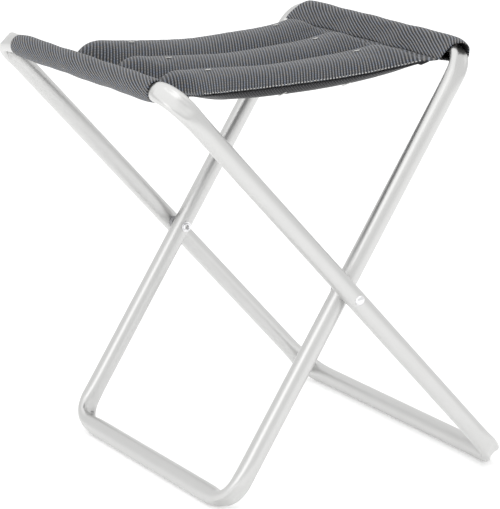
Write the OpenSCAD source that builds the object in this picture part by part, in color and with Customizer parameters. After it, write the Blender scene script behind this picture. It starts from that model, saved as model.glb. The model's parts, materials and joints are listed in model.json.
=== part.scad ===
// Folding camp stool: two bent aluminium tube loops crossed on two rivets, with a padded cloth sling seat.
// Millimetres, +Z up, both bars and the fold axis run along Y, the near side is -Y.

/* [Frames] */
// Outside diameter of the frame tube
tube_d = 20; // [18:0.5:22]
// Wall of the frame tube
tube_wall = 1.2; // [1:0.1:1.8]
// Radius of the tube bends at their centre line
bend_r = 25; // [23:1:35]
// Half width of the outer loop, fold axis side to leg centre
outer_half = 186.5; // [170:0.5:210]
// Space between an outer leg and the inner leg beside it
leg_gap = 5; // [4:0.5:8]
// Slope of the outer loop to the floor when open
outer_angle = 47.7; // [44:0.1:54]
// Slope of the inner loop to the floor when open
inner_angle = 57.1; // [52:0.1:60]
// Outer loop from the fold axis down to its floor bar
outer_low = 272.3; // [250:0.5:290]
// Outer loop from the fold axis up to its seat bar
outer_up = 302.2; // [280:0.5:320]
// Inner loop from the fold axis up to its seat bar
inner_up = 274.3; // [260:0.5:300]
// Depth of the dish that bending leaves on the outside of a bend
dish_depth = 3.6; // [2:0.1:5]

/* [Pivots] */
// Diameter of the rivet shank
rivet_d = 6; // [5:0.5:6]
// Diameter of the domed rivet head
rivet_head_d = 10.5; // [9:0.5:13]
// Outside diameter of the spacer between the legs
spacer_d = 13; // [12:0.5:15]

/* [Seat] */
// Sag of the cloth below the line between the seat bars
seat_sag = 22; // [20:1:34]
// Width of one padded channel
channel_w = 78; // [70:1:82]
// Height of the padding above the cloth line
pad_up = 13; // [6:0.5:14]
// Depth of the padding below the cloth line
pad_down = 11; // [4:0.5:14]
// Thickness of the seat cloth
cloth_t = 0.9; // [0.6:0.1:1.2]
// Half length of the sleeve on the outer loop
outer_sleeve_half = 150; // [140:1:158]
// Half length of the sleeve on the inner loop
inner_sleeve_half = 150; // [136:1:152]

/* [Hidden] */
$fn = 48;
eps = 0.02;
tube_r = tube_d / 2;
bore_r = tube_r - tube_wall;
inner_half = outer_half - tube_d - leg_gap;
pivot_z = tube_r + outer_low * sin(outer_angle);
inner_low = (pivot_z - tube_r) / sin(inner_angle);
// The part is centred on its own box: the outer seat bar and the outer floor bar are its ends in X.
sleeve_r = tube_r + 2.2;
box_x0 = -outer_up * cos(outer_angle) - sleeve_r;
box_x1 = outer_low * cos(outer_angle) + tube_r;
pivot_x = -(box_x0 + box_x1) / 2;
outer_bar = [pivot_x - outer_up * cos(outer_angle), pivot_z + outer_up * sin(outer_angle)];
inner_bar = [pivot_x + inner_up * cos(inner_angle), pivot_z + inner_up * sin(inner_angle)];
// Arc of the sling through both seat bar centres
chord = norm(inner_bar - outer_bar);
chord_tilt = atan2(inner_bar[1] - outer_bar[1], inner_bar[0] - outer_bar[0]);
arc_r = (chord * chord / 4 + seat_sag * seat_sag) / (2 * seat_sag);
half_arc = asin(chord / 2 / arc_r);
mid_bar = (outer_bar + inner_bar) / 2;
arc_c = mid_bar + (arc_r - seat_sag) * [-sin(chord_tilt), cos(chord_tilt)];
arc_0 = -half_arc + chord_tilt;
arc_1 = half_arc + chord_tilt;
seam_reach = 22;
seam_arc = seam_reach / arc_r * 180 / PI;
panel_0 = arc_0 + seam_arc + 0.05;
panel_1 = arc_1 - seam_arc - 0.05;
margin_arc = 1.7;
taper_arc = 2.9;
seat_half = 1.5 * channel_w + 5;
// The long edges run wider toward the bars
flare = 0.19;
panel_mid = (panel_0 + panel_1) / 2;
panel_span = (panel_1 - panel_0) / 2;
along_n = 18;
across_n = 6;
dish_r = 7;
dish_path = 60;
pocket_r = 11;
pocket_at = 6.3;
splice_len = 60;
split_gap = 0.6;
rivet_r = rivet_d / 2;
run_fit = 0.05;
face_gap = 0.3;
bush_wall = 1.1;
head_h = 2.6;
clinch_h = 1.8;
clinch_r = 4.4;
washer_t = 1;
washer_r = 5.6;
metal = [0.80, 0.81, 0.82];
chrome = [0.70, 0.71, 0.73];
nylon = [0.12, 0.12, 0.13];
cloth = [0.27, 0.28, 0.30];
dark = [0.08, 0.08, 0.09];
thread = [0.75, 0.75, 0.74];
foam = [0.12, 0.12, 0.125];

// ---- frame tubes ----
// Frame tubes are drawn flat: local X runs up the legs from the fold axis, local Y across the loop.
module outer_place() {
  translate([pivot_x, 0, pivot_z])
    rotate([0, 180 + outer_angle, 0])
      children();
}

module inner_place() {
  translate([pivot_x, 0, pivot_z])
    rotate([0, -inner_angle, 0])
      children();
}

// One bend at the local origin, turning from +X to +Y; skin is how far inside the outer surface it lies.
module dished_bend(skin) {
  difference() {
    rotate_extrude(angle = 90)
      translate([bend_r, 0])
        circle(r = tube_r - skin);
    rotate([0, 0, 45])
      translate([bend_r + tube_r + dish_r - dish_depth - dish_path, 0, 0])
        rotate_extrude()
          translate([dish_path, 0])
            circle(r = dish_r + skin);
    rotate([0, 0, 45])
      translate([pocket_at, 0, 0])
        sphere(r = pocket_r + skin);
  }
}

// A whole loop; skin as above; up, low and half are the loop's centre line sizes.
module loop_body(up, low, half, skin) {
  r = tube_r - skin;
  leg_len = up + low - 2 * bend_r;
  bar_len = 2 * (half - bend_r);
  for (side = [-1, 1])
    translate([-low + bend_r, side * half, 0])
      rotate([0, 90, 0])
        cylinder(r = r, h = leg_len);
  for (x = [-low, up])
    translate([x, -half + bend_r, 0])
      rotate([-90, 0, 0])
        cylinder(r = r, h = bar_len);
  translate([up - bend_r, half - bend_r, 0])
    dished_bend(skin);
  translate([up - bend_r, -half + bend_r, 0])
    rotate([0, 0, -90])
      dished_bend(skin);
  translate([-low + bend_r, half - bend_r, 0])
    rotate([0, 0, 90])
      dished_bend(skin);
  translate([-low + bend_r, -half + bend_r, 0])
    rotate([0, 0, 180])
      dished_bend(skin);
}

module loop_tube(up, low, half, hole_r) {
  difference() {
    loop_body(up, low, half, 0);
    loop_body(up, low, half, tube_wall);
    translate([up, 0, 0])
      cube([2 * tube_d, split_gap, 2 * tube_d], center = true);
    for (side = [-1, 1])
      translate([0, side * half, 0])
        rotate([90, 0, 0])
          cylinder(r = hole_r, h = 2 * tube_d, center = true);
  }
}

module splice(up) {
  translate([up, 0, 0])
    rotate([90, 0, 0])
      difference() {
        cylinder(r = bore_r - eps, h = splice_len, center = true);
        cylinder(r = bore_r - 1.5, h = splice_len + 2, center = true);
      }
}

module outer_frame_tube() {
  color(metal)
    outer_place()
      loop_tube(outer_up, outer_low, outer_half, rivet_r + eps);
}

module outer_tube_splice() {
  color(metal)
    outer_place()
      splice(outer_up);
}

module inner_frame_tube() {
  color(metal)
    inner_place()
      loop_tube(inner_up, inner_low, inner_half, rivet_r + run_fit + bush_wall + eps);
}

module inner_tube_splice() {
  color(metal)
    inner_place()
      splice(inner_up);
}

// ---- pivots ----
// Pivot parts are drawn for the +Y side; local Z runs outward from the middle of the stool.
module pivot_place(side) {
  translate([pivot_x, 0, pivot_z])
    rotate([-90 * side, 0, 0])
      children();
}

// The leg's tube surface as a cutter, along the leg of one loop
module leg_cutter(half, angle) {
  translate([0, 0, half])
    rotate([0, 0, angle])
      rotate([0, 90, 0])
        cylinder(r = tube_r + eps, h = 4 * tube_d, center = true);
}

module rivet(side) {
  end_z = inner_half - tube_r - face_gap - washer_t;
  head_z = outer_half + tube_r;
  dome_r = (rivet_head_d * rivet_head_d / 4 + head_h * head_h) / (2 * head_h);
  color(chrome)
    pivot_place(side)
      difference() {
        union() {
          translate([0, 0, end_z - clinch_h])
            cylinder(r = rivet_r, h = head_z - end_z + clinch_h + 1);
          translate([0, 0, end_z - clinch_h])
            cylinder(r = clinch_r, h = clinch_h - eps);
          difference() {
            intersection() {
              translate([0, 0, head_z + head_h - dome_r])
                sphere(r = dome_r);
              translate([0, 0, head_z - 1.8])
                cylinder(r = rivet_head_d / 2, h = 6);
            }
            leg_cutter(outer_half, side * outer_angle);
          }
        }
        translate([0, 0, end_z - clinch_h - 1])
          cylinder(r = 2, h = 9);
      }
}

module pivot_rivet_near() {
  rivet(-1);
}

module pivot_rivet_far() {
  rivet(1);
}

module leg_spacer(side) {
  color(nylon)
    pivot_place(side)
      difference() {
        translate([0, 0, inner_half + tube_r + face_gap])
          cylinder(d = spacer_d, h = leg_gap - face_gap + 1.5);
        translate([0, 0, inner_half])
          cylinder(r = rivet_r + eps, h = outer_half - inner_half);
        leg_cutter(outer_half, side * outer_angle);
      }
}

module leg_spacer_near() {
  leg_spacer(-1);
}

module leg_spacer_far() {
  leg_spacer(1);
}

module rivet_washer(side) {
  color(chrome)
    pivot_place(side)
      translate([0, 0, inner_half - tube_r - face_gap - washer_t])
        difference() {
          cylinder(r = washer_r, h = washer_t);
          translate([0, 0, -1])
            cylinder(r = rivet_r + eps, h = washer_t + 2);
        }
}

module rivet_washer_near() {
  rivet_washer(-1);
}

module rivet_washer_far() {
  rivet_washer(1);
}

module pivot_bush(side) {
  color(nylon)
    pivot_place(side)
      translate([0, 0, inner_half - tube_r])
        difference() {
          cylinder(r = rivet_r + run_fit + bush_wall, h = tube_d);
          translate([0, 0, -1])
            cylinder(r = rivet_r + run_fit, h = tube_d + 2);
        }
}

module pivot_bush_near() {
  pivot_bush(-1);
}

module pivot_bush_far() {
  pivot_bush(1);
}

// ---- sleeves ----
// A drop outline: a circle with two tangents that meet at reach along local X
module drop(r, reach) {
  a = acos(r / reach);
  circle(r = r);
  polygon([[reach, 0], [r * cos(a), r * sin(a)], [r * cos(a), -r * sin(a)]]);
}

// Extrudes an XZ outline along Y over the given half length
module along_bar(bar, pull, half) {
  translate([bar[0], half, bar[1]])
    rotate([90, 0, 0])
      linear_extrude(height = 2 * half)
        rotate([0, 0, pull])
          children();
}

module sleeve_body(bar, pull, half, r_out, r_in, reach_out, reach_in) {
  along_bar(bar, pull, half)
    difference() {
      drop(r_out, reach_out);
      drop(r_in, reach_in);
    }
}

outer_pull = arc_0 + seam_arc / 2;
inner_pull = 180 + arc_1 - seam_arc / 2;
skin_r = sleeve_r - cloth_t;
lining_r = skin_r - eps;
lining_in = tube_r + 0.3;
corner_r = tube_r + 0.65;

// What the bent corners of a loop take out of a sleeve end
module corner_clear(up, half) {
  for (side = [-1, 1])
    mirror([0, side > 0 ? 0 : 1, 0])
      translate([up - bend_r, half - bend_r, 0]) {
        rotate_extrude(angle = 90)
          translate([bend_r, 0])
            circle(r = corner_r);
        translate([-3 * bend_r, bend_r, 0])
          rotate([0, 90, 0])
            cylinder(r = corner_r, h = 3 * bend_r);
      }
}

module outer_bar_sleeve() {
  color(cloth)
    sleeve_body(outer_bar, outer_pull, outer_sleeve_half, sleeve_r, skin_r, seam_reach, seam_reach - 1.5);
}

module outer_sleeve_lining() {
  color(dark)
    sleeve_body(outer_bar, outer_pull, outer_sleeve_half - 1, lining_r, lining_in, seam_reach - 1.6, seam_reach - 3.4);
}

module inner_bar_sleeve() {
  color(cloth)
    difference() {
      sleeve_body(inner_bar, inner_pull, inner_sleeve_half, sleeve_r, skin_r, seam_reach, seam_reach - 1.5);
      inner_place()
        corner_clear(inner_up, inner_half);
    }
}

module inner_sleeve_lining() {
  color(dark)
    difference() {
      sleeve_body(inner_bar, inner_pull, inner_sleeve_half - 1, lining_r, lining_in, seam_reach - 1.6, seam_reach - 3.4);
      inner_place()
        corner_clear(inner_up, inner_half);
    }
}

// Thread rows round the two ends of a sleeve, on the side away from the seat
module hem_rows(bar, pull, half, start) {
  for (side = [-1, 1])
    translate([bar[0], side * (half - 4), bar[1]])
      rotate([90, 0, 0])
        rotate([0, 0, pull + start])
          rotate_extrude(angle = 290 - start)
            translate([sleeve_r + 0.35, 0])
              circle(r = 0.3, $fn = 24);
}

module outer_sleeve_hem_stitching() {
  color(thread)
    hem_rows(outer_bar, outer_pull, outer_sleeve_half, 70);
}

module inner_sleeve_hem_stitching() {
  color(thread)
    hem_rows(inner_bar, inner_pull, inner_sleeve_half, 104);
}

// ---- seat panel ----
// Sweeps a (radius, y) outline about the sling's arc centre between two angles from straight down
module arc_sweep(a0, a1) {
  translate([arc_c[0], 0, arc_c[1]])
    rotate([-90, 0, 0])
      rotate([0, 0, 90 - a1])
        rotate_extrude(angle = a1 - a0, $fn = 96)
          children();
}

// Webbing sewn under each sleeve seam; its ends show past the seat edges
tape_half = seat_half * (1 + flare) + 2;
module seam_tape(a0, a1) {
  color(dark)
    arc_sweep(a0, a1)
      translate([arc_r + 2.2, -tape_half])
        square([1, 2 * tape_half]);
}

module outer_seam_tape() {
  seam_tape(panel_0 + 0.1, panel_0 + 1.0);
}

module inner_seam_tape() {
  seam_tape(panel_1 - 1.0, panel_1 - 0.1);
}

// Padding profile: 1 on top of a channel, 0 in the valleys and at the channel ends
function clamp01(x) = max(0, min(1, x));
function end_shape(t) = sqrt(max(0, 1 - (1 - clamp01(t)) * (1 - clamp01(t))));
function along(a) = end_shape((a - panel_0 - margin_arc) / taper_arc) * end_shape((panel_1 - margin_arc - a) / taper_arc);
function in_channel(y) = abs(y) >= 1.5 * channel_w ? 1 : 2 * ((y / channel_w + 1.5) - floor(y / channel_w + 1.5)) - 1;
function across(y) = pow(max(0, 1 - in_channel(y) * in_channel(y)), 0.6);
function puff(a, y) = along(a) * across(y);
function spread(a) = 1 + flare * pow(abs((a - panel_mid) / panel_span), 3);
function at(a, y, r) = [arc_c[0] + r * sin(a), y * spread(a), arc_c[1] - r * cos(a)];

// A sheet between two heights over the sling's arc; lift counts upward, toward the arc centre
module quilt(a_list, y_list, low, high) {
  na = len(a_list);
  ny = len(y_list);
  count = na * ny;
  lower = [for (a = a_list, y = y_list) at(a, y, arc_r - low(a, y))];
  upper = [for (a = a_list, y = y_list) at(a, y, arc_r - high(a, y))];
  tops = [for (i = [0 : na - 2], j = [0 : ny - 2])
    each [[count + i * ny + j, count + (i + 1) * ny + j, count + (i + 1) * ny + j + 1],
      [count + i * ny + j, count + (i + 1) * ny + j + 1, count + i * ny + j + 1]]];
  bottoms = [for (i = [0 : na - 2], j = [0 : ny - 2])
    each [[i * ny + j, (i + 1) * ny + j + 1, (i + 1) * ny + j],
      [i * ny + j, i * ny + j + 1, (i + 1) * ny + j + 1]]];
  sides = [for (i = [0 : na - 2])
    each [[i * ny, (i + 1) * ny, count + (i + 1) * ny, count + i * ny],
      [i * ny + ny - 1, count + i * ny + ny - 1, count + (i + 1) * ny + ny - 1, (i + 1) * ny + ny - 1]]];
  ends = [for (j = [0 : ny - 2])
    each [[j, count + j, count + j + 1, j + 1],
      [(na - 1) * ny + j, (na - 1) * ny + j + 1, count + (na - 1) * ny + j + 1, count + (na - 1) * ny + j]]];
  polyhedron(points = concat(lower, upper), faces = concat(tops, bottoms, sides, ends), convexity = 6);
}

// A straight run of thread along the sling
module stitch(a, y, lift, run, sides) {
  translate(at(a, y, arc_r - lift))
    rotate([0, 90 - a, 0])
      cylinder(r = 0.5, h = run, center = true, $fn = sides);
}

function steps(a0, a1, n) = [for (i = [0 : n]) a0 + (a1 - a0) * i / n];
panel_a = steps(panel_0, panel_1, along_n);
panel_y = concat([-seat_half], steps(-1.5 * channel_w, 1.5 * channel_w, 3 * across_n), [seat_half]);

module seat_top_cloth() {
  color(cloth)
    quilt(panel_a, panel_y,
      function(a, y) 0.1 + pad_up * puff(a, y),
      function(a, y) 0.1 + cloth_t + pad_up * puff(a, y));
}

module seat_backing_cloth() {
  color(dark)
    quilt(panel_a, panel_y,
      function(a, y) -0.1 - cloth_t - pad_down * puff(a, y),
      function(a, y) -0.1 - pad_down * puff(a, y));
}

// One foam roll fills a channel between the two cloths
module foam_roll(channel) {
  y0 = (channel - 0.5) * channel_w;
  rows = [for (i = [1 : across_n - 1]) y0 + channel_w * i / across_n];
  cols = [for (a = panel_a) if (along(a) > 0.3) a];
  color(foam)
    quilt(cols, rows,
      function(a, y) 0.05 - pad_down * puff(a, y),
      function(a, y) pad_up * puff(a, y) - 0.05);
}

module seat_foam_near() {
  foam_roll(-1);
}

module seat_foam_middle() {
  foam_roll(0);
}

module seat_foam_far() {
  foam_roll(1);
}

// Thread row along a long edge, just above the top cloth, one short straight stitch after another
stitch_n = 46;
module edge_stitching(side) {
  color(thread)
    for (a = steps(panel_0 + 0.6, panel_1 - 0.6, stitch_n))
      stitch(a, side * (1.5 * channel_w + 2.5), cloth_t + 0.75, 3.6, 6);
}

module seat_edge_stitching_near() {
  edge_stitching(-1);
}

module seat_edge_stitching_far() {
  edge_stitching(1);
}

// Short thread bars: one near each end of every channel, and two under the near edge
tack_len = 8;
tack_in = 5.6;
module tack(a, y, lift) {
  stitch(a, y, lift, tack_len, 24);
}

module seat_bar_tacks() {
  color(thread) {
    for (channel = [-1, 0, 1]) {
      tack(panel_0 + tack_in, channel * channel_w, pad_up + cloth_t + 0.8);
      tack(panel_1 - tack_in, channel * channel_w, pad_up + cloth_t + 0.8);
    }
    for (a = [chord_tilt - 3, chord_tilt + 4])
      tack(a, -1.5 * channel_w - 2, -cloth_t - 0.9);
  }
}

// ---- assembly ----
outer_frame_tube();
outer_tube_splice();
inner_frame_tube();
inner_tube_splice();
pivot_rivet_near();
pivot_rivet_far();
leg_spacer_near();
leg_spacer_far();
rivet_washer_near();
rivet_washer_far();
pivot_bush_near();
pivot_bush_far();
outer_bar_sleeve();
outer_sleeve_lining();
inner_bar_sleeve();
inner_sleeve_lining();
outer_sleeve_hem_stitching();
inner_sleeve_hem_stitching();
outer_seam_tape();
inner_seam_tape();
seat_top_cloth();
seat_backing_cloth();
seat_foam_near();
seat_foam_middle();
seat_foam_far();
seat_edge_stitching_near();
seat_edge_stitching_far();
seat_bar_tacks();
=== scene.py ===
"""Folding camp stool: the visual model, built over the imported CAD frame.

Metres, in the frame's own axes: X runs from bar to bar, Y along the seat bars, and Z is up from the floor."""
import math

import bpy
import numpy as np
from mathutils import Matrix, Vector
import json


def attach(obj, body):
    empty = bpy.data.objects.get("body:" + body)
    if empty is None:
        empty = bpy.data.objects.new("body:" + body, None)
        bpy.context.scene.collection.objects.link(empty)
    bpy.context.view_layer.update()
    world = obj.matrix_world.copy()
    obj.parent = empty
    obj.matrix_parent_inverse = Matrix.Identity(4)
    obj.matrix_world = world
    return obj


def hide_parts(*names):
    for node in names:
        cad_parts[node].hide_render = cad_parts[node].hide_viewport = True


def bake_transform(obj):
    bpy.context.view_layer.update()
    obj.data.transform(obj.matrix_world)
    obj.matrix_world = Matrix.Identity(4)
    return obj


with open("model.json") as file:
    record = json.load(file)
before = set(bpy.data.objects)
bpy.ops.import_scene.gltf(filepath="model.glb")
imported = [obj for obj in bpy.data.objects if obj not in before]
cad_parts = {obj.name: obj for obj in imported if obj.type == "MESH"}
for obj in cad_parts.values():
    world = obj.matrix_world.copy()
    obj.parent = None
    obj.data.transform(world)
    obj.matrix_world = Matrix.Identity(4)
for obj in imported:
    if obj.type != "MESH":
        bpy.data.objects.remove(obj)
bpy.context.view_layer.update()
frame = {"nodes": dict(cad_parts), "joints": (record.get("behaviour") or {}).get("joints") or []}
rng = np.random.default_rng(7)

# ---------------------------------------------------------------- sizes
joint = frame["joints"][0]
PX, _, PZ = joint["pos_m"]
TUBE = 0.010  # radius of the frame tube
BEND = 0.025  # radius of its bends, at the tube's centre
# each loop: lean of its legs, reach from the fold axis up to the seat bar and down to the floor bar, half width
OUT = dict(angle=math.radians(180 - 47.7), up=0.3022, low=0.2723, half=0.1865)
INN = dict(angle=math.radians(57.1), up=0.2743, half=0.1615)
INN["low"] = (PZ - TUBE) / math.sin(INN["angle"])


def along(f, s):
    """Point (x, z) at distance s up a frame's legs from the fold axis."""
    return np.array([PX + s * math.cos(f["angle"]), PZ + s * math.sin(f["angle"])])


OBAR, IBAR = along(OUT, OUT["up"]), along(INN, INN["up"])
SAG, SHAPE, SKEW = 0.0197, 3.7, 0.0008  # seat line: depth, flatness of its middle, lean to one side


def sling_curve(t):
    """Seat line (x, z) between the bars: padded middle nearly straight, soft margins steeper."""
    t = np.asarray(t, float)
    x = OBAR[0] + (IBAR[0] - OBAR[0]) * t
    z = OBAR[1] + (IBAR[1] - OBAR[1]) * t - SAG * (1 - np.abs(2 * t - 1) ** SHAPE) + SKEW * np.sin(2 * np.pi * t)
    return np.stack([x, z], -1)


_T = np.linspace(0, 1, 801)
_C = sling_curve(_T)
_S = np.r_[0, np.cumsum(np.linalg.norm(np.diff(_C, axis=0), axis=1))]
SEAM_A, SEAM_B = 0.022, 0.024  # from each bar's centre to its sleeve seam
LENGTH = _S[-1] - SEAM_A - SEAM_B


def sling(s, y, lift=0.0):
    """Point on the seat at distance s from the first seam, lifted along the normal."""
    t = np.interp(s + SEAM_A, _S, _T)
    p, q = sling_curve(t - 0.002), sling_curve(t + 0.002)
    d = (q - p) / np.linalg.norm(q - p)
    c = (p + q) / 2
    return np.array([c[0] - d[1] * lift, y, c[1] + d[0] * lift])


# ---------------------------------------------------------------- mesh helpers
def new_object(name, verts, faces, uvs=None, smooth=True):
    """Mesh object; uvs holds one list of (u, v) for each face."""
    me = bpy.data.meshes.new(name)
    me.from_pydata([tuple(map(float, v)) for v in verts], [], [tuple(map(int, f)) for f in faces])
    if uvs is not None:
        layer = me.uv_layers.new(name="UVMap")
        k = 0
        for corners in uvs:
            for uv in corners:
                layer.data[k].uv = uv
                k += 1
    me.polygons.foreach_set("use_smooth", [smooth] * len(me.polygons))
    ob = bpy.data.objects.new(name, me)
    bpy.context.scene.collection.objects.link(ob)
    return ob


def grid_faces(ni, nj, wrap_i=False, wrap_j=False, flip=False):
    """Quads of an ni x nj grid, and the (i, j) of each quad's corners."""
    faces, corners = [], []
    for i in range(ni if wrap_i else ni - 1):
        for j in range(nj if wrap_j else nj - 1):
            a, b = (i + 1) % ni, (j + 1) % nj
            f = [i * nj + j, a * nj + j, a * nj + b, i * nj + b]
            c = [(i, j), (i + 1, j), (i + 1, j + 1), (i, j + 1)]
            faces.append(f[::-1] if flip else f)
            corners.append(c[::-1] if flip else c)
    return faces, corners


def grid_object(name, P, U, V, wrap_i=False, wrap_j=False, flip=False):
    """P is (ni, nj, 3); U has ni (+1) values and V nj (+1) values, in metres."""
    ni, nj = P.shape[:2]
    faces, corners = grid_faces(ni, nj, wrap_i, wrap_j, flip)
    uvs = [[(U[i], V[j]) for i, j in c] for c in corners]
    return new_object(name, P.reshape(-1, 3), faces, uvs)


def apply_modifiers(ob):
    """Writes the modifiers' result into the mesh."""
    dg = bpy.context.evaluated_depsgraph_get()
    me = bpy.data.meshes.new_from_object(ob.evaluated_get(dg), preserve_all_data_layers=True, depsgraph=dg)
    ob.modifiers.clear()
    old = ob.data
    ob.data = me
    me.name = ob.name
    bpy.data.meshes.remove(old)
    me.polygons.foreach_set("use_smooth", [True] * len(me.polygons))
    return ob


def thicken(ob, t, offset=-1.0, levels=0):
    """Gives a surface the thickness t, after smoothing it by so many subdivision levels."""
    if levels:
        m = ob.modifiers.new("s", "SUBSURF")
        m.levels = m.render_levels = levels
    m = ob.modifiers.new("t", "SOLIDIFY")
    m.thickness, m.offset, m.use_even_offset = t, offset, False
    return apply_modifiers(ob)


def capsules(name, segs, radius, sides=8):
    """Round-ended threads: segs is a list of (start, end) points."""
    verts, faces = [], []
    prof = [(0.0, 0.25), (0.12, 0.8), (0.3, 1.0), (0.7, 1.0), (0.88, 0.8), (1.0, 0.25)]
    for p, q in segs:
        p, q = Vector(p), Vector(q)
        d = q - p
        t = d.normalized()
        n = t.orthogonal().normalized()
        b = t.cross(n)
        base = len(verts)
        for s, r in prof:
            for k in range(sides):
                a = 2 * math.pi * k / sides
                verts.append(p + d * s + (n * math.cos(a) + b * math.sin(a)) * radius * r)
        for i in range(len(prof) - 1):
            for k in range(sides):
                k2 = (k + 1) % sides
                row, above = base + i * sides, base + (i + 1) * sides
                faces.append([row + k, row + k2, above + k2, above + k])
        faces.append([base + k for k in range(sides)][::-1])
        faces.append([base + (len(prof) - 1) * sides + k for k in range(sides)])
    return new_object(name, verts, faces)


def lathe(name, prof, centre, side, sides=64):
    """Turns (radius, y) points about a Y line through centre; side is the sign of Y."""
    verts, faces = [], []
    for r, y in prof:
        for k in range(sides):
            a = 2 * math.pi * k / sides
            verts.append((centre[0] + r * math.cos(a), side * y, centre[1] + r * math.sin(a)))
    n = len(prof)
    for i in range(n - 1):
        for k in range(sides):
            k2 = (k + 1) % sides
            f = [i * sides + k, (i + 1) * sides + k, (i + 1) * sides + k2, i * sides + k2]
            faces.append(f if side < 0 else f[::-1])
    return new_object(name, verts, faces)


# ---------------------------------------------------------------- materials
class Nodes:
    """Small shader graph helper."""

    def __init__(self, name):
        self.mat = bpy.data.materials.new(name)
        self.mat.use_nodes = True
        self.t = self.mat.node_tree
        self.bsdf = self.t.nodes["Principled BSDF"]

    def add(self, kind, **props):
        n = self.t.nodes.new(kind)
        for k, v in props.items():
            setattr(n, k, v)
        return n

    def link(self, a, b):
        self.t.links.new(a, b)

    def put(self, socket, value):
        if isinstance(value, bpy.types.NodeSocket):
            self.link(value, socket)
        else:
            socket.default_value = value

    def math(self, op, a, b=0.0, c=0.0, clamp=False):
        n = self.add("ShaderNodeMath", operation=op, use_clamp=clamp)
        for s, v in zip(n.inputs, (a, b, c)):
            self.put(s, v)
        return n.outputs[0]

    def mix(self, fac, a, b, blend="MIX"):
        n = self.add("ShaderNodeMix", data_type="RGBA", blend_type=blend)
        self.put(n.inputs[0], fac)
        self.put(n.inputs[6], a)
        self.put(n.inputs[7], b)
        return n.outputs[2]

    def noise(self, vec, scale, detail=2.0, rough=0.5):
        n = self.add("ShaderNodeTexNoise")
        self.link(vec, n.inputs["Vector"])
        n.inputs["Scale"].default_value = scale
        n.inputs["Detail"].default_value = detail
        n.inputs["Roughness"].default_value = rough
        return n.outputs["Fac"]

    def uv(self):
        n = self.add("ShaderNodeUVMap", uv_map="UVMap")
        s = self.add("ShaderNodeSeparateXYZ")
        self.link(n.outputs[0], s.inputs[0])
        return n.outputs[0], s.outputs[0], s.outputs[1]

    def obj(self):
        return self.add("ShaderNodeTexCoord").outputs["Object"]

    def bump(self, height, strength, distance):
        n = self.add("ShaderNodeBump")
        n.inputs["Strength"].default_value = strength
        n.inputs["Distance"].default_value = distance
        self.link(height, n.inputs["Height"])
        self.link(n.outputs[0], self.bsdf.inputs["Normal"])

    def set(self, **kw):
        for k, v in kw.items():
            self.put(self.bsdf.inputs[k.replace("_", " ")], v)


def wave(g, x):
    """0..1 sine of x, one period per unit."""
    return g.math("MULTIPLY_ADD", g.math("SINE", g.math("MULTIPLY", x, 2 * math.pi)), 0.5, 0.5)


def ribbed(name, angle, pitch, bead, light=(0.235, 0.243, 0.258), dark=(0.014, 0.016, 0.020)):
    """Ribbed weave: light ribs at an angle to U, pitch apart, with a bead every bead metres along each rib."""
    g = Nodes(name)
    vec, u, v = g.uv()
    c, s = math.cos(angle), math.sin(angle)
    warp = g.math("MULTIPLY", g.math("SUBTRACT", g.noise(vec, 30.0, 1.0), 0.5), pitch * 0.5)
    a = g.math("ADD", g.math("ADD", g.math("MULTIPLY", u, c), g.math("MULTIPLY", v, s)), warp)
    b = g.math("SUBTRACT", g.math("MULTIPLY", v, c), g.math("MULTIPLY", u, s))
    rib_x = g.math("DIVIDE", a, pitch)
    rib = wave(g, rib_x)
    half_step = g.math("MULTIPLY", g.math("FLOOR", g.math("ADD", rib_x, 0.25)), 0.5)
    beads = wave(g, g.math("ADD", g.math("DIVIDE", b, bead), half_step))
    ridge = g.math("MULTIPLY_ADD", rib, 1.9, -0.62, clamp=True)
    tone = g.math("MULTIPLY", ridge, g.math("MULTIPLY_ADD", beads, 0.42, 0.58))
    grain = g.noise(vec, 900.0, 2.0)
    tone = g.math("MULTIPLY", tone, g.math("MULTIPLY_ADD", grain, 0.5, 0.75), clamp=True)
    tint = g.noise(vec, 260.0, 1.0)
    # a few threads are cooler and a few are warmer than the rest
    cool = (light[0] * 0.86, light[1] * 0.95, light[2] * 1.12, 1)
    warm = (light[0] * 1.10, light[1] * 0.99, light[2] * 0.86, 1)
    lit = g.mix(g.math("GREATER_THAN", tint, 0.56), (*light, 1), cool)
    lit = g.mix(g.math("LESS_THAN", tint, 0.43), lit, warm)
    base = g.mix(tone, (*dark, 1), lit)
    wear = g.noise(vec, 14.0, 3.0)
    base = g.mix(g.math("MULTIPLY_ADD", wear, 0.25, -0.05, clamp=True), base, (0.10, 0.10, 0.11, 1))
    g.set(Base_Color=base, Roughness=0.85)
    g.bsdf.inputs["Specular IOR Level"].default_value = 0.2
    g.bsdf.inputs["Sheen Weight"].default_value = 0.25
    g.bsdf.inputs["Sheen Roughness"].default_value = 0.5
    g.bump(tone, 0.9, 0.0006)
    return g.mat


def plain_weave(name, light, dark, pitch, rough=0.9, sheen=0.2):
    """Fine square weave."""
    g = Nodes(name)
    vec, u, v = g.uv()
    a = wave(g, g.math("DIVIDE", g.math("ADD", u, v), pitch))
    b = wave(g, g.math("DIVIDE", g.math("SUBTRACT", u, v), pitch))
    w = g.math("MULTIPLY", a, b)
    tone = g.math("MULTIPLY", w, g.math("MULTIPLY_ADD", g.noise(vec, 700.0), 0.8, 0.5), clamp=True)
    g.set(Base_Color=g.mix(tone, (*dark, 1), (*light, 1)), Roughness=rough)
    g.bsdf.inputs["Specular IOR Level"].default_value = 0.2
    g.bsdf.inputs["Sheen Weight"].default_value = sheen
    g.bump(tone, 0.6, 0.0004)
    return g.mat


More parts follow.
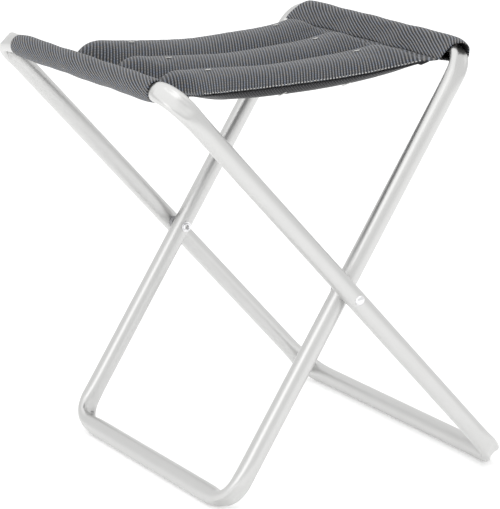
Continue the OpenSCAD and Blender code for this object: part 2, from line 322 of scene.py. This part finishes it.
def anodised():
    """Satin aluminium, faintly brushed along the tube."""
    g = Nodes("satin_aluminium")
    vec, u, v = g.uv()
    stretch = g.add("ShaderNodeMapping")
    stretch.inputs["Scale"].default_value = (1.0, 14.0, 1.0)
    g.link(vec, stretch.inputs[0])
    cloud = g.noise(vec, 22.0, 3.0)
    brush = g.noise(stretch.outputs[0], 110.0, 3.0, 0.6)
    grain = g.noise(g.obj(), 2600.0, 2.0)
    base = g.mix(cloud, (0.585, 0.585, 0.578, 1), (0.62, 0.62, 0.613, 1))
    rough = g.math("MULTIPLY_ADD", cloud, 0.05, 0.31)
    rough = g.math("ADD", rough, g.math("MULTIPLY_ADD", brush, 0.04, -0.02))
    g.set(Base_Color=base, Roughness=rough)
    g.bsdf.inputs["Metallic"].default_value = 0.92
    g.bump(g.math("ADD", g.math("MULTIPLY", brush, 0.6), g.math("MULTIPLY", grain, 0.4)), 0.02, 0.0001)
    return g.mat


def metal(name, color, rough):
    g = Nodes(name)
    n = g.noise(g.obj(), 320.0, 3.0)
    g.set(Base_Color=(*color, 1), Roughness=g.math("MULTIPLY_ADD", n, 0.14, rough - 0.07))
    g.bsdf.inputs["Metallic"].default_value = 1.0
    g.bump(n, 0.05, 0.0002)
    return g.mat


def plain(name, color, rough, spec=0.4):
    g = Nodes(name)
    n = g.noise(g.obj(), 500.0, 2.0)
    base = g.mix(n, (*[x * 0.85 for x in color], 1), (*[min(1, x * 1.15) for x in color], 1))
    g.set(Base_Color=base, Roughness=rough)
    g.bsdf.inputs["Specular IOR Level"].default_value = spec
    g.bump(n, 0.15, 0.0002)
    return g.mat


MAT = dict(
    alu=anodised(),
    chrome=metal("rivet_chrome_mat", (0.78, 0.78, 0.79), 0.16),
    seat=ribbed("ribbed_cloth_seat", math.radians(-23), 0.00308, 0.0026),
    left=ribbed("ribbed_cloth_left", math.radians(25.5), 0.0028, 0.0026,
                (0.25, 0.258, 0.273), (0.010, 0.011, 0.014)),
    right=ribbed("ribbed_cloth_right", math.radians(-23), 0.0028, 0.0026,
                 (0.26, 0.268, 0.284), (0.008, 0.009, 0.012)),
    backing=plain_weave("backing_cloth", (0.11, 0.11, 0.115), (0.010, 0.010, 0.012), 0.0034),
    lining=plain_weave("black_lining_cloth", (0.020, 0.020, 0.022), (0.008, 0.008, 0.009), 0.0012, 0.7, 0.05),
    tape=plain_weave("black_tape", (0.03, 0.03, 0.032), (0.010, 0.010, 0.011), 0.0016, 0.7, 0.05),
    thread=plain("light_thread", (0.60, 0.60, 0.58), 0.7, 0.2),
    nylon=plain("grey_nylon", (0.28, 0.28, 0.29), 0.5),
    foam=plain("foam_mat", (0.12, 0.12, 0.125), 0.95, 0.1),
)


def paint(ob, mat):
    ob.data.materials.clear()
    ob.data.materials.append(MAT[mat])
    return ob


# ---------------------------------------------------------------- frame tubes
QUARTER_ARC = BEND * 1.571
BEND_STEPS = 44
STRAIGHT_STEP = 0.012
AROUND = 72


def loop_path(f):
    """Points of a rounded rectangular loop, from a corner of the seat bar round: place and outward normal in the
    loop's plane, and how far through a bend (0 to 1; below 0 or above 1 on the straight runs beside it)."""
    up, low, half = f["up"], f["low"], f["half"]
    bends = []
    for cx, cy, first in ((up, half, 0), (-low, half, 90), (-low, -half, 180), (up, -half, 270)):
        centre = np.array([cx - math.copysign(BEND, cx), cy - math.copysign(BEND, cy)])
        for k in range(BEND_STEPS + 1):
            t = k / BEND_STEPS
            a = math.radians(first + 90 * t)
            n = np.array([math.cos(a), math.sin(a)])
            bends.append((centre + BEND * n, n, t))
    path = []
    for i, (p, n, t) in enumerate(bends):
        path.append((p, n, t))
        q = bends[(i + 1) % len(bends)][0]
        gap = np.linalg.norm(q - p)
        if gap < 6 * BEND / BEND_STEPS:
            continue
        # a straight run: its points count their distance to the nearer bend
        steps = max(3, int(gap / STRAIGHT_STEP))
        for j in range(1, steps):
            w = j / steps
            beside = min(w * gap, (1 - w) * gap) / QUARTER_ARC
            path.append((p * (1 - w) + q * w, n, 1 + beside if w < 0.5 else -beside))
    return path


def frame_tube(name, f):
    """Tube swept round the loop; each bend is crushed: dished outside, dented inside, and spread sideways."""
    path = loop_path(f)
    ex = np.array([math.cos(f["angle"]), 0, math.sin(f["angle"])])
    ey = np.array([0, 1.0, 0])
    ez = np.cross(ex, ey)
    base = np.array([PX, 0, PZ])
    phi = np.linspace(0, 2 * math.pi, AROUND, endpoint=False)
    co, si = np.cos(phi), np.sin(phi)
    P = np.zeros((len(path), AROUND, 3))
    U = [0.0]
    last = None
    for i, (c, n, t) in enumerate(path):
        # each part of the crush fades with the distance from the bend's middle
        off = abs(t - 0.5)
        crush = math.exp(-((off / 0.62) ** 3.5))
        dish = math.exp(-((off / 0.50) ** 4))
        pocket = math.exp(-((off / 0.24) ** 2))
        y = TUBE * (1 + 0.12 * crush) * si
        x = TUBE * co - 0.0026 * dish * np.clip(co, 0, 1) ** 0.5
        x = x - (co > 0) * 0.0050 * dish * np.exp(-(np.abs(si) / 0.60) ** 3.0)
        x = x + (co < 0) * np.exp(-(np.abs(si) / 0.55) ** 2.6) * (0.0018 * crush + 0.0042 * pocket)
        centre = base + ex * c[0] + ey * c[1]
        outward = ex * n[0] + ey * n[1]
        P[i] = centre + np.outer(x, outward) + np.outer(y, ez)
        if last is not None:
            U.append(U[-1] + np.linalg.norm(centre - last))
        last = centre
    U.append(U[-1] + 0.01)
    V = list(np.arange(AROUND + 1) / AROUND * 2 * math.pi * TUBE)
    return grid_object(name, P, U, V, wrap_i=True, wrap_j=True, flip=True)


outer = paint(frame_tube("outer_frame", OUT), "alu")
inner = paint(frame_tube("inner_frame", INN), "alu")
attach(outer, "outer_frame")
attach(inner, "inner_frame")
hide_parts("outer_frame_tube")
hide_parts("inner_frame_tube")

# ---------------------------------------------------------------- pivots
# (radius, height over the leg's side) of the domed head, and then of the end rolled over the washer
RIVET_HEAD = [(0.0, 0.0026), (0.0012, 0.00258), (0.0026, 0.0023), (0.0038, 0.0017), (0.0047, 0.0008),
              (0.0051, 0.0001), (0.00525, -0.0004), (0.0052, -0.0018), (0.0030, -0.0018)]
RIVET_END = [(0.0030, 0.0), (0.0043, 0.0), (0.00455, -0.0005), (0.0045, -0.0012), (0.0039, -0.0018),
             (0.0031, -0.0019), (0.0025, -0.0015), (0.0021, -0.0006), (0.0020, 0.006), (0.0, 0.007)]
WASHER = 0.0013

head_y = OUT["half"] + TUBE
end_y = INN["half"] - TUBE - WASHER
for tag, side in (("near", -1), ("far", 1)):
    prof = [(r, head_y + h) for r, h in RIVET_HEAD] + [(r, end_y + h) for r, h in RIVET_END]
    riv = paint(lathe("rivet_" + tag, prof, (PX, PZ), side), "chrome")
    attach(riv, "outer_frame")
    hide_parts("pivot_rivet_" + tag)

# the hidden pieces keep their CAD shapes
for mat, names in (("nylon", ("leg_spacer_near", "leg_spacer_far", "pivot_bush_near", "pivot_bush_far")),
                   ("chrome", ("rivet_washer_near", "rivet_washer_far", "outer_tube_splice", "inner_tube_splice"))):
    for n in names:
        frame["nodes"][n].data.materials.clear()
        frame["nodes"][n].data.materials.append(MAT[mat])

# ---------------------------------------------------------------- seat panel
NC = 3  # channels
NV = 20  # cells across one channel
NU = 92  # cells from seam to seam
PITCH = 0.0765  # width of a channel
UP, DOWN = 0.0130, 0.0115  # height of a channel over and under the seat line
FLARE = 0.27  # share by which the seat widens toward the bars
CROWN = (1.0, 1.12, 1.28)  # height of the near, middle and far channel
PRESSURE = 12.0
MARGIN_A, MARGIN_B = 0.048, 0.009  # flat cloth between each seam and the channel ends
SCALLOP = 0.026  # how far the channel ends bow into the wider margin
# a tuned value, not a weight: Blender counts mass for each vertex, so it is divided by the fineness of the mesh
CLOTH_MASS = 0.25 * 460
MOST_MOVE = 0.08  # a simulation that moves a point further than this has failed
BACKING_DROP = 0.0019


def smooth(t):
    t = min(1.0, max(0.0, t))
    return t * t * (3 - 2 * t)


def panel_mesh():
    """Start shape and cut shape of two layers welded along the channel seams.

    The cut shape is fuller than the place it hangs in, right up to the channel ends, so the pressure rounds each
    channel and the spare cloth puckers where the channels close."""
    nv = NC * NV + 1
    ss = np.linspace(0, LENGTH, NU + 1)
    base_y = (np.arange(nv) - (nv - 1) / 2) * PITCH / NV
    m = 2 * ss / LENGTH - 1
    mid = np.abs(m)
    spread = 1 + np.where(m < 0, FLARE * mid ** 3.2, 0.09 * mid ** 3 + (FLARE - 0.09) * mid ** 11)
    top = np.zeros((NU + 1, nv), int)
    bot = np.zeros((NU + 1, nv), int)
    verts, rest, pad = [], [], []
    for i, s0 in enumerate(ss):
        rise = UP * (1 + 0.42 * (1 - smooth((s0 - 0.060) / 0.110)) + 0.20 * smooth((s0 - 0.140) / 0.090))
        sink = DOWN * smooth((s0 - MARGIN_A + 0.010) / 0.055)
        for j in range(nv):
            y = base_y[j] * spread[i]
            c = (j % NV) / NV * 2 - 1
            dist = min(s0 - MARGIN_A + SCALLOP * (1 - c * c), LENGTH - MARGIN_B - s0)
            seam = (j % NV == 0) or dist <= 0
            full = min(1.0, max(0.0, dist / 0.026))
            full = (1 - (1 - full) ** 2.2) ** 0.6
            cut = min(1.0, max(0.0, dist / 0.016)) ** 0.5
            lens = 0.0 if seam else (1 - abs(c) ** 2.2)
            ripple = rng.normal(0, 0.00012)
            crown = rise * CROWN[min(j // NV, NC - 1)]
            for side, h in ((1, crown),) if seam else ((1, crown), (-1, sink)):
                if side > 0:
                    top[i, j] = bot[i, j] = len(verts)
                else:
                    bot[i, j] = len(verts)
                verts.append(sling(s0, y, side * (full * lens * h * 0.9 + (0 if seam else 0.0008)) + ripple))
                rest.append(sling(s0, y * 1.02, side * cut * lens * h * 1.12))
                pad.append(not seam)
    faces = []
    for i in range(NU):
        for j in range(nv - 1):
            t = [top[i, j], top[i + 1, j], top[i + 1, j + 1], top[i, j + 1]]
            b = [bot[i, j], bot[i, j + 1], bot[i + 1, j + 1], bot[i + 1, j]]
            faces.append(t)
            if set(t) != set(b):
                faces.append(b)
    return verts, rest, pad, faces, top, bot, ss, base_y


def simulate_panel():
    """Relaxes the panel as cloth, held along both seams and blown up by the padding's pressure."""
    verts, rest, pad, faces, top, bot, ss, base_y = panel_mesh()
    ob = new_object("seat_sim", verts, faces)
    ob.shape_key_add(name="Basis")
    key = ob.shape_key_add(name="cut")
    for k, v in enumerate(rest):
        key.data[k].co = v
    key.value = 0.0
    hold = ob.vertex_groups.new(name="hold")
    press = ob.vertex_groups.new(name="press")
    for i in (0, NU):
        hold.add([int(k) for k in top[i]], 1.0, "REPLACE")
    press.add([k for k, inside in enumerate(pad) if inside], 1.0, "REPLACE")
    m = ob.modifiers.new("cloth", "CLOTH")
    s = m.settings
    s.rest_shape_key = key
    s.quality = 8
    s.mass = CLOTH_MASS / (NV * NU)
    s.tension_stiffness = s.compression_stiffness = 25
    s.shear_stiffness = 12
    s.bending_stiffness = 0.4
    s.tension_damping = s.compression_damping = 10
    s.bending_damping = 1.0
    s.air_damping = 2.0
    s.vertex_group_mass = "hold"
    s.use_pressure = True
    s.uniform_pressure_force = PRESSURE
    s.vertex_group_pressure = "press"
    s.effector_weights.gravity = 0.15
    m.collision_settings.use_collision = False
    sc = bpy.context.scene
    frames = 24
    m.point_cache.frame_start, m.point_cache.frame_end = 1, frames
    for f in range(1, frames + 1):
        sc.frame_set(f)
    ev = ob.evaluated_get(bpy.context.evaluated_depsgraph_get())
    co = np.zeros(len(verts) * 3)
    ev.data.vertices.foreach_get("co", co)
    co = co.reshape(-1, 3)
    start = np.array(verts)
    sc.frame_set(1)
    bpy.data.objects.remove(ob)
    if not np.isfinite(co).all() or np.abs(co - start).max() > MOST_MOVE:
        print("the cloth simulation failed: the seat keeps its start shape")
        co = start
    padded = [MARGIN_A - SCALLOP < x < LENGTH - MARGIN_B for x in ss]
    return co[top], co[bot], ss, base_y * 1.12, padded


# both layers, the places and widths of their rows, and which rows are padded
TOP, BOT, SU, SV, INSIDE = simulate_panel()


def bend_with_frames(ob):
    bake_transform(ob)
    return ob


top_cloth = grid_object("seat_top", TOP, SU, SV)
top_cloth = thicken(top_cloth, 0.0009, -1.0, 1)
paint(top_cloth, "seat")
bend_with_frames(top_cloth)
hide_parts("seat_top_cloth")

i0, i1 = INSIDE.index(True) - 1, len(INSIDE) - 1 - INSIDE[::-1].index(True) + 1
LOW = BOT.copy()
LOW[..., 2] -= BACKING_DROP
back_cloth = grid_object("seat_backing", LOW[i0:i1 + 1], SU[i0:i1 + 1], SV, flip=True)
back_cloth = thicken(back_cloth, 0.0008, -1.0, 1)
paint(back_cloth, "backing")
bend_with_frames(back_cloth)
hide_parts("seat_backing_cloth")

# foam rolls follow the inside of each channel, drawn in from both cloths
ROLL_UP, ROLL_DOWN = 0.80, 0.45
for k, nm in enumerate(("near", "middle", "far")):
    j0, j1 = k * NV + 2, (k + 1) * NV - 2
    ia, ib = i0 + 6, i1 - 6
    t = TOP[ia:ib + 1, j0:j1 + 1]
    b = BOT[ia:ib + 1, j0:j1 + 1]
    mid = (t + b) / 2
    t, b = mid + (t - mid) * ROLL_UP, mid + (b - mid) * ROLL_DOWN
    ni, nj = t.shape[:2]
    ring = np.concatenate([t, b[:, ::-1]], axis=1)
    faces, _ = grid_faces(ni, 2 * nj, wrap_j=True)
    caps = []
    for row, rev in ((0, False), (ni - 1, True)):
        for j in range(nj - 1):
            first, past = row * 2 * nj, (row + 1) * 2 * nj
            q = [first + j, first + j + 1, past - 2 - j, past - 1 - j]
            caps.append(q[::-1] if rev else q)
    fo = new_object("foam_roll_" + nm, ring.reshape(-1, 3), faces + caps)
    paint(fo, "foam")
    bend_with_frames(fo)
    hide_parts("seat_foam_" + nm)


# ---------------------------------------------------------------- sleeves
ALONG = 120
PLY = 9  # points on each flat ply, between the bar and the seam


def sleeve_section(reach, n=56):
    """Drop-shaped outline round a bar, as (du, dn) with du toward the seam at reach. Starts and ends at the seam."""
    r = TUBE + 0.0012
    a = math.acos(r / reach)
    leave_u, leave_n = r * math.cos(a), r * math.sin(a)
    pts = []
    for k in range(PLY):
        t = k / PLY
        pts.append((reach + (leave_u - reach) * t, leave_n * t))
    m = n - 2 * PLY
    for k in range(m + 1):
        t = a + (2 * math.pi - 2 * a) * k / m
        pts.append((r * math.cos(t), r * math.sin(t)))
    for k in range(1, PLY + 1):
        t = k / PLY
        pts.append((leave_u + (reach - leave_u) * t, -leave_n * (1 - t)))
    return np.array(pts)


def sleeve(name, f, bar, reach, pull, ends, seed, over=False):
    """Cloth sleeve round a seat bar. pull is the angle from the bar to the seam, and ends(w) gives the reach to the
    near and the far end for a place w round the outline. With over, the cloth turns down over the corners."""
    sec = sleeve_section(reach)
    n = len(sec)
    step = np.r_[0, np.cumsum(np.linalg.norm(np.diff(sec, axis=0), axis=1))]
    ph = np.random.default_rng(seed).uniform(0, 6.28, 8)
    P = np.zeros((n, ALONG + 1, 3))
    e1 = np.array([math.cos(pull), 0, math.sin(pull)])
    e2 = np.array([-math.sin(pull), 0, math.cos(pull)])
    if e2[2] < 0:
        e2 = -e2
    axis_dir = np.array([math.cos(f["angle"]), 0, math.sin(f["angle"])])
    straight = f["half"] - BEND
    for i in range(n):
        du, dn = sec[i]
        w = i / (n - 1)
        near_y, far_y = ends(w)
        for j in range(ALONG + 1):
            s = 2 * j / ALONG - 1
            y_end = near_y if s < 0 else far_y
            y = s * y_end
            off = e1 * du + e2 * dn
            # soft waves: stronger on the flat plies near the seam
            flat = max(0.0, (du - 0.004) / 0.018)
            wob = 0.00028 * math.sin(61 * y + ph[0] + 3 * w) + 0.00018 * math.sin(143 * y + ph[1] + 9 * w)
            wob += flat * 0.0007 * math.sin(88 * y + ph[2] + 5 * w)
            # the mouths close on the tube, and the inner sleeve's near one stands open
            near_end = max(0.0, 1 - (y_end - abs(y)) / 0.018)
            hug = 0.0008 * near_end ** 2 * (1.0 if over and y < 0 else -1.0)
            off = off * (1 + (wob + hug) / max(1e-6, math.hypot(du, dn)))
            if over and abs(y) > straight:
                # past the bend's start the cloth turns down over the corner with the tube
                x = min(1.0, (abs(y) - straight) / (BEND + TUBE))
                turn = math.asin(min(0.95, x))
                outward = off @ axis_dir
                drop = 0.98 * (BEND + max(0.0, outward)) * (1 - math.cos(turn))
                off = off - axis_dir * drop * (0.25 + 0.75 * min(1.0, max(0.0, (outward + 0.006) / 0.012)))
            P[i, j] = np.array([bar[0], 0, bar[1]]) + off + np.array([0, y, 0])
    V = np.linspace(-1, 1, ALONG + 1) * ends(0.5)[0]
    return grid_object(name, P, step, V, flip=(e1[0] < 0)), P


seam_a, seam_b = sling(0.0, 0), sling(LENGTH, 0)
out_pull = math.atan2(seam_a[2] - OBAR[1], seam_a[0] - OBAR[0])
in_pull = math.atan2(seam_b[2] - IBAR[1], seam_b[0] - IBAR[0])


def inner_ends(w):
    """Reach toward the near and the far end, w going round the outline from the seam over the top."""
    top = smooth(math.sin(math.pi * w) * 1.35 - 0.1)
    return 0.1470 + 0.0080 * top - 0.0045 * math.exp(-((w - 0.60) / 0.14) ** 2), 0.148 - 0.013 * top


def outer_ends(w):
    return 0.155, 0.138


sl_out, PO = sleeve("outer_sleeve", OUT, OBAR, SEAM_A, out_pull, outer_ends, 3)
sl_in, PI = sleeve("inner_sleeve", INN, IBAR, SEAM_B, in_pull, inner_ends, 4, over=True)
for tag, ob, P, bar, mat, inset in (("outer", sl_out, PO, OBAR, "left", 4), ("inner", sl_in, PI, IBAR, "right", 1)):
    body, node = tag + "_frame", tag + "_bar_sleeve"
    # the lining lies inside the sleeve and stops a little short of its mouths
    cen = np.array([bar[0], 0, bar[1]]) + np.array([0, 1, 0]) * P[..., 1:2]
    vec = P - cen
    lin_P = cen + vec * (1 - 0.0007 / np.linalg.norm(vec, axis=2, keepdims=True))
    lin = grid_object(tag + "_lining", lin_P[2:-2, inset:-inset], np.arange(P.shape[0] - 4) * 0.0014,
                      np.arange(P.shape[1] - 2 * inset) * 0.0026)
    thicken(ob, 0.0006, -1.0)
    thicken(lin, 0.0003, -1.0)
    paint(ob, mat)
    paint(lin, "lining")
    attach(ob, body)
    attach(lin, body)
    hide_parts(node)
    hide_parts(tag + "_sleeve_lining")
    # hem stitches round both ends
    segs = []
    n = P.shape[0]
    for j in (3, P.shape[1] - 4):
        line = [Vector(P[i, j]) for i in range(3, n - 3)]
        outv = [(p - Vector((bar[0], p.y, bar[1]))).normalized() for p in line]
        for i in range(0, len(line) - 1, 2):
            a = line[i] + outv[i] * 0.0003
            b = line[i + 1] + outv[i + 1] * 0.0003
            segs.append((a, a + (b - a) * 1.2))
    hem = capsules(tag + "_hem_stitches", segs, 0.00035, 6)
    paint(hem, "thread")
    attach(hem, body)
    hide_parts(tag + "_sleeve_hem_stitching")

# seam tapes under the seams, their ends show past the seat edges
for tag, s0, body in (("outer", 0.020, "outer_frame"), ("inner", LENGTH - 0.011, "inner_frame")):
    y_top = float(np.abs(TOP[int(np.argmin(np.abs(SU - s0))), :, 1]).max()) + 0.0015
    ys = np.linspace(-y_top, y_top, 80)
    rows = [[sling(s0 + ds, y, -0.0022 - 0.0003 * math.sin(70 * y)) for y in ys]
            for ds in np.linspace(-0.005, 0.005, 5)]
    tp = grid_object(tag + "_tape", np.array(rows), np.linspace(0, 0.010, 5), ys)
    thicken(tp, 0.0009, 1.0)
    paint(tp, "tape")
    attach(tp, body)
    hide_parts(tag + "_seam_tape")

# ---------------------------------------------------------------- stitches on the seat
STITCH, STITCH_STEP = 0.0021, 0.0037


def point_along(line, total, x):
    """Point at the distance x along a line whose running lengths are total."""
    k = max(0, min(len(line) - 2, int(np.searchsorted(total, x)) - 1 if x > 0 else 0))
    t = (x - total[k]) / max(1e-9, total[k + 1] - total[k])
    return line[k].lerp(line[k + 1], t)


for tag, j, side in (("near", 0, -1), ("far", NC * NV, 1)):
    line = [Vector(TOP[i, j]) for i in range(i0 + 1, i1) if SU[i] > MARGIN_A - 0.003]
    total = [0.0]
    for p, q in zip(line, line[1:]):
        total.append(total[-1] + (q - p).length)
    segs, s = [], 0.001
    while s + 0.0022 < total[-1]:
        p, q = point_along(line, total, s), point_along(line, total, s + STITCH)
        o = Vector((0, side * 0.0006, 0.0010))
        segs.append((p + o, q + o))
        s += STITCH_STEP
    st = capsules("edge_stitches_" + tag, segs, 0.00036, 8)
    paint(st, "thread")
    bend_with_frames(st)
    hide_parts("seat_edge_stitching_" + tag)

def surface(grid, u, j):
    """Point on a layer at the share u of the way from seam to seam, in column j."""
    x = u * NU
    i = int(x)
    t = x - i
    return Vector(grid[i, j] * (1 - t) + grid[i + 1, j] * t)


# a tack near each end of every channel, as a short bar with a small V beside it
L = SU[-1]
TACKS = [float(np.interp(x, [sling(q, 0)[0] for q in SU], SU)) / L for x in (-0.098, 0.084)]
segs = []
for k in range(NC):
    for u, j in zip(TACKS, (k * NV + round(0.4 * NV), k * NV + NV // 2)):
        c, d = surface(TOP, u - 0.0042 / L, j), surface(TOP, u + 0.0042 / L, j)
        up, beside = Vector((0, 0, 0.0009)), Vector((0, -0.0022, 0))
        segs.append((c + up, d + up))
        segs.append((c.lerp(d, 0.1) + up * 1.2, c.lerp(d, 0.5) + up * 1.2 + beside))
        segs.append((c.lerp(d, 0.5) + up * 1.2 + beside, c.lerp(d, 0.9) + up * 1.2))
# two more, set at a slant under the near edge
for u in (0.465, 0.705):
    c, d = surface(BOT, u - 0.002 / L, 3), surface(BOT, u + 0.005 / L, 1)
    o = Vector((0, -0.0016, -0.0030))
    segs.append((c + o, d + o))
tk = capsules("bar_tacks", segs, 0.0005, 8)
paint(tk, "thread")
bend_with_frames(tk)
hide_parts("seat_bar_tacks")

# ---------------------------------------------------------------- floor, light, camera
floor = new_object("floor", [(-6, -6, 0), (6, -6, 0), (6, 9, 0), (-6, 9, 0)], [(0, 1, 2, 3)], smooth=False)
g = Nodes("floor_white")
g.set(Base_Color=(0.93, 0.93, 0.93, 1), Roughness=0.9)
g.bsdf.inputs["Specular IOR Level"].default_value = 0.0
g.bsdf.inputs["Emission Color"].default_value = (1, 1, 1, 1)
g.bsdf.inputs["Emission Strength"].default_value = 0.25
floor.data.materials.append(g.mat)


def area(name, loc, size, power, target=(0, 0, 0.25)):
    """Soft rectangular light, turned toward the seat."""
    li = bpy.data.lights.new(name, "AREA")
    li.shape, li.size, li.size_y, li.energy = "RECTANGLE", size[0], size[1], power
    ob = bpy.data.objects.new(name, li)
    ob.location = loc
    ob.rotation_euler = (Vector(target) - Vector(loc)).to_track_quat("-Z", "Y").to_euler()
    bpy.context.scene.collection.objects.link(ob)


area("top_soft", (-0.3, -0.2, 2.2), (3.6, 3.6), 15)
area("left_soft", (-2.2, -0.8, 1.2), (1.4, 1.8), 7)

world = bpy.data.worlds.new("studio")
bpy.context.scene.world = world
world.use_nodes = True
world.node_tree.nodes["Background"].inputs[0].default_value = (1, 1, 1, 1)
world.node_tree.nodes["Background"].inputs[1].default_value = 1.0

# the camera looks at the fold axis from this direction and distance
AZIMUTH, ELEVATION, DISTANCE = math.radians(31.2), math.radians(14.92), 2.617
d = Vector((math.cos(ELEVATION) * math.sin(AZIMUTH), math.cos(ELEVATION) * math.cos(AZIMUTH), -math.sin(ELEVATION)))
cam_data = bpy.data.cameras.new("camera")
cam_data.sensor_width, cam_data.lens = 36.0, 175.756
cam_data.shift_x, cam_data.shift_y = -0.014145, 0.004519
cam_data.clip_start, cam_data.clip_end = 0.05, 60
cam = bpy.data.objects.new("camera", cam_data)
cam.location = Vector((PX, 0, PZ)) - d * DISTANCE
cam.rotation_euler = d.to_track_quat("-Z", "Y").to_euler()
bpy.context.scene.collection.objects.link(cam)
bpy.context.scene.camera = cam
bpy.context.scene.view_settings.view_transform = "Standard"
bpy.context.scene.view_settings.look = "None"
